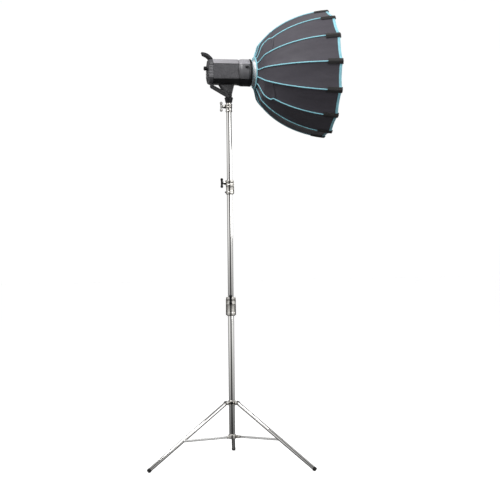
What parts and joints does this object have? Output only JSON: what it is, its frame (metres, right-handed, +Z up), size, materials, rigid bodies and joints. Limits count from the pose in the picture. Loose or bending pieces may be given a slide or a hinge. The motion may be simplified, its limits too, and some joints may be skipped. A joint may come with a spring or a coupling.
{
  "type": "studio light with softbox on stand",
  "caption": "LED studio light with a parabolic softbox on a telescoping folding stand; legs fold, risers slide, head pans and tilts.",
  "frame": {"origin": "middle of the footprint box, on the floor that the feet stand on", "axes": "+Z up along the column, +X the way the light points"},
  "size_m": [0.9542, 0.785, 2.2738],
  "materials": {
    "stainless_steel": "bright drawn tube",
    "cast_metal": "bright cast fittings",
    "brace_strip": "pressed strip",
    "black_plastic": "fine moulded grain",
    "dark_housing": "moulded, lightly textured",
    "grey_housing": "smooth moulded",
    "foot_rubber": "moulded rubber",
    "display": "clear polished window",
    "ring_aluminium": "machined and anodised",
    "led": "phosphor on a ceramic plate",
    "rib_rod": "pultruded fibreglass rod",
    "softbox_fabric": "coated woven nylon",
    "binding": "woven edge binding",
    "diffuser_fabric": "white translucent cloth"
  },
  "bodies": {
    "base": {"base_tube": "stainless_steel", "spreader_hub": "cast_metal", "lower_clamp": "cast_metal"},
    "collar": {"leg_collar": "cast_metal"},
    "collar_screw": {"collar_knob": "black_plastic"},
    "leg_a": {"leg_a": "stainless_steel", "foot_a": "foot_rubber"},
    "leg_b": {"leg_b": "stainless_steel", "foot_b": "foot_rubber"},
    "leg_c": {"leg_c": "stainless_steel", "foot_c": "foot_rubber"},
    "brace_a": {"brace_a": "brace_strip"},
    "brace_b": {"brace_b": "brace_strip"},
    "brace_c": {"brace_c": "brace_strip"},
    "lower_screw": {"lower_knob": "cast_metal"},
    "lower_riser": {"riser_lower": "stainless_steel", "middle_clamp": "cast_metal"},
    "middle_screw": {"middle_knob": "cast_metal"},
    "middle_riser": {"riser_middle": "stainless_steel", "upper_clamp": "cast_metal"},
    "upper_screw": {"upper_knob": "cast_metal"},
    "upper_riser": {"riser_upper": "stainless_steel", "spigot": "cast_metal"},
    "socket": {"stand_socket": "black_plastic"},
    "socket_lock": {"socket_screw": "black_plastic"},
    "head": {"tilt_plate": "dark_housing", "housing_top": "grey_housing", "housing_bottom": "dark_housing", "front_bell": "dark_housing", "rear_panel": "dark_housing", "handle": "black_plastic", "display_window": "display", "power_inlet": "black_plastic", "led_module": "led", "heat_sink": "ring_aluminium"},
    "lever": {"tilt_lever": "black_plastic"},
    "dial": {"dial": "black_plastic"},
    "switch": {"power_switch": "black_plastic"},
    "button": {"mode_button": "grey_housing"},
    "fan": {"fan_rotor": "black_plastic"},
    "catch": {"mount_lock": "black_plastic"},
    "softbox": {"speedring": "ring_aluminium", "rib_hub": "ring_aluminium", "rib_01": "rib_rod", "rib_02": "rib_rod", "rib_03": "rib_rod", "rib_04": "rib_rod", "rib_05": "rib_rod", "rib_06": "rib_rod", "rib_07": "rib_rod", "rib_08": "rib_rod", "rib_09": "rib_rod", "rib_10": "rib_rod", "rib_11": "rib_rod", "rib_12": "rib_rod", "rib_13": "rib_rod", "rib_14": "rib_rod", "canopy": "softbox_fabric", "rim_hem": "binding", "diffuser": "diffuser_fabric"}
  },
  "joints": [
    {"name": "collar_slide", "type": "slide", "parent": "base", "child": "collar", "axis": [0, 0, 1], "range_m": [0, 0.3703]},
    {"name": "leg_fold_a", "type": "hinge", "parent": "collar", "child": "leg_a", "pos_m": [-0.01906, -0.03873, 0.3075], "axis": [-0.9781, 0.2079, 0], "range_deg": [-0.1, 55.41]},
    {"name": "leg_fold_b", "type": "hinge", "parent": "collar", "child": "leg_b", "pos_m": [-0.05731, -0.0812, 0.3075], "axis": [0.309, -0.9511, 0], "range_deg": [-0.1, 55.41]},
    {"name": "leg_fold_c", "type": "hinge", "parent": "collar", "child": "leg_c", "pos_m": [-0.0014, -0.09309, 0.3075], "axis": [0.6691, 0.7431, 0], "range_deg": [-0.1, 55.41]},
    {"name": "brace_fold_a", "type": "hinge", "parent": "base", "child": "brace_a", "pos_m": [-0.01906, -0.03873, 0.1385], "axis": [0.9781, -0.2079, 0], "range_deg": [-0.1, 90.2]},
    {"name": "brace_fold_b", "type": "hinge", "parent": "base", "child": "brace_b", "pos_m": [-0.05731, -0.0812, 0.1385], "axis": [-0.309, 0.9511, 0], "range_deg": [-0.1, 90.2]},
    {"name": "brace_fold_c", "type": "hinge", "parent": "base", "child": "brace_c", "pos_m": [-0.0014, -0.09309, 0.1385], "axis": [-0.6691, -0.7431, 0], "range_deg": [-0.1, 90.2]},
    {"name": "collar_knob_turn", "type": "hinge", "parent": "collar", "child": "collar_screw", "pos_m": [-0.02592, -0.071, 0.3075], "axis": [-0.2079, -0.9781, 0], "range_deg": [0, 270]},
    {"name": "lower_knob_turn", "type": "hinge", "parent": "base", "child": "lower_screw", "pos_m": [-0.02592, -0.071, 0.8244], "axis": [-0.2079, -0.9781, 0], "range_deg": [0, 270]},
    {"name": "riser_lower_slide", "type": "slide", "parent": "base", "child": "lower_riser", "axis": [0, 0, 1], "range_m": [-0.5, 0.02]},
    {"name": "middle_knob_turn", "type": "hinge", "parent": "lower_riser", "child": "middle_screw", "pos_m": [-0.02592, -0.071, 1.40615], "axis": [-0.9781, 0.2079, 0], "range_deg": [0, 270]},
    {"name": "riser_middle_slide", "type": "slide", "parent": "lower_riser", "child": "middle_riser", "axis": [0, 0, 1], "range_m": [-0.325, 0.19]},
    {"name": "upper_knob_turn", "type": "hinge", "parent": "middle_riser", "child": "upper_screw", "pos_m": [-0.02592, -0.071, 1.7878], "axis": [-0.9781, 0.2079, 0], "range_deg": [0, 270]},
    {"name": "riser_upper_slide", "type": "slide", "parent": "middle_riser", "child": "upper_riser", "axis": [0, 0, 1], "range_m": [0, 0.5]},
    {"name": "pan", "type": "hinge", "parent": "upper_riser", "child": "socket", "pos_m": [-0.02592, -0.071, 0], "axis": [0, 0, 1], "continuous": true},
    {"name": "socket_screw_turn", "type": "hinge", "parent": "socket", "child": "socket_lock", "pos_m": [-0.02592, -0.071, 1.82], "axis": [0, 1, 0], "range_deg": [0, 270]},
    {"name": "tilt", "type": "hinge", "parent": "socket", "child": "head", "pos_m": [-0.02592, -0.071, 1.853], "axis": [0, -1, 0], "range_deg": [-50, 60]},
    {"name": "lever_turn", "type": "hinge", "parent": "head", "child": "lever", "pos_m": [-0.02592, -0.071, 1.853], "axis": [0, -1, 0], "range_deg": [0, 30]},
    {"name": "dial_turn", "type": "hinge", "parent": "head", "child": "dial", "pos_m": [-0.12992, -0.061, 1.978], "axis": [1, 0, 0], "continuous": true},
    {"name": "power_switch_rock", "type": "hinge", "parent": "head", "child": "switch", "pos_m": [-0.12942, -0.045, 1.924], "axis": [0, 0, 1], "range_deg": [-6, 6]},
    {"name": "mode_button_press", "type": "slide", "parent": "head", "child": "button", "axis": [1, 0, 0], "range_m": [0, 0.0012], "stiffness_N_per_m": 500},
    {"name": "fan_spin", "type": "hinge", "parent": "head", "child": "fan", "pos_m": [-0.07092, -0.071, 1.958], "axis": [1, 0, 0], "continuous": true},
    {"name": "mount_lock_slide", "type": "slide", "parent": "head", "child": "catch", "axis": [-1, 0, 0], "range_m": [0, 0.004], "stiffness_N_per_m": 400},
    {"name": "bayonet_twist", "type": "hinge", "parent": "head", "child": "softbox", "pos_m": [-0.02592, -0.071, 1.958], "axis": [1, 0, 0], "range_deg": [0, 25]}
  ],
  "couplings": [
    {"joint": "leg_fold_a", "follows": "collar_slide", "rad_per_m": 2.6014},
    {"joint": "leg_fold_b", "follows": "collar_slide", "rad_per_m": 2.6014},
    {"joint": "leg_fold_c", "follows": "collar_slide", "rad_per_m": 2.6014},
    {"joint": "brace_fold_a", "follows": "collar_slide", "rad_per_m": 4.2409},
    {"joint": "brace_fold_b", "follows": "collar_slide", "rad_per_m": 4.2409},
    {"joint": "brace_fold_c", "follows": "collar_slide", "rad_per_m": 4.2409}
  ]
}
